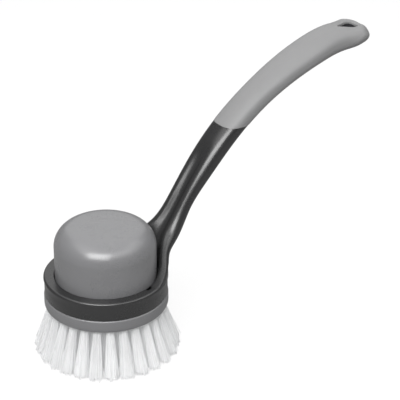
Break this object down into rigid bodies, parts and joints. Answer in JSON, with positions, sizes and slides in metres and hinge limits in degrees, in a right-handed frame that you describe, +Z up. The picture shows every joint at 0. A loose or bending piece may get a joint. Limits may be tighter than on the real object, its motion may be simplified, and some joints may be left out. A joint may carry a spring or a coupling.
{
  "type": "dish brush",
  "caption": "Long-handled dish brush: an arched soft grip and dished neck carry a ring, and a round head with a palm dome and flared tufts pushes out of it downwards.",
  "frame": {"origin": "on the head's axis, in the plane of the bristle tips", "axes": "+X from the head towards the handle's tip, +Y to the side, +Z up along the head's axis, from the bristle tips to the dome"},
  "size_m": [0.2117, 0.0788, 0.147],
  "materials": {
    "frame_plastic": "dark grey moulded plastic with a satin gloss",
    "grip_rubber": "light grey soft-touch rubber, matte",
    "head_plastic": "mid grey moulded plastic, fine satin",
    "bristle_nylon": "white nylon filaments, slightly translucent",
    "anchor_wire": "plain drawn wire"
  },
  "bodies": {
    "handle": {"handle_frame": "frame_plastic", "grip_sleeve": "grip_rubber"},
    "brush_head": {"palm_dome": "head_plastic", "tuft_plate": "head_plastic", "outer_tuft_01": "bristle_nylon", "outer_tuft_02": "bristle_nylon", "outer_tuft_03": "bristle_nylon", "outer_tuft_04": "bristle_nylon", "outer_tuft_05": "bristle_nylon", "outer_tuft_06": "bristle_nylon", "outer_tuft_07": "bristle_nylon", "outer_tuft_08": "bristle_nylon", "outer_tuft_09": "bristle_nylon", "outer_tuft_10": "bristle_nylon", "outer_tuft_11": "bristle_nylon", "outer_tuft_12": "bristle_nylon", "outer_tuft_13": "bristle_nylon", "outer_tuft_14": "bristle_nylon", "outer_tuft_15": "bristle_nylon", "outer_tuft_16": "bristle_nylon", "outer_tuft_17": "bristle_nylon", "outer_tuft_18": "bristle_nylon", "outer_tuft_19": "bristle_nylon", "outer_tuft_20": "bristle_nylon", "outer_tuft_21": "bristle_nylon", "outer_tuft_22": "bristle_nylon", "outer_tuft_23": "bristle_nylon", "outer_tuft_24": "bristle_nylon", "outer_tuft_25": "bristle_nylon", "outer_tuft_26": "bristle_nylon", "outer_tuft_27": "bristle_nylon", "second_ring_tufts": "bristle_nylon", "third_ring_tufts": "bristle_nylon", "inner_ring_tufts": "bristle_nylon", "centre_tuft": "bristle_nylon", "outer_anchors": "anchor_wire", "second_ring_anchors": "anchor_wire", "third_ring_anchors": "anchor_wire", "inner_ring_anchors": "anchor_wire", "centre_anchor": "anchor_wire"}
  },
  "joints": [
    {"name": "head_release", "type": "slide", "parent": "handle", "child": "brush_head", "axis": [0, 0, -1], "range_m": [0, 0.05]}
  ]
}
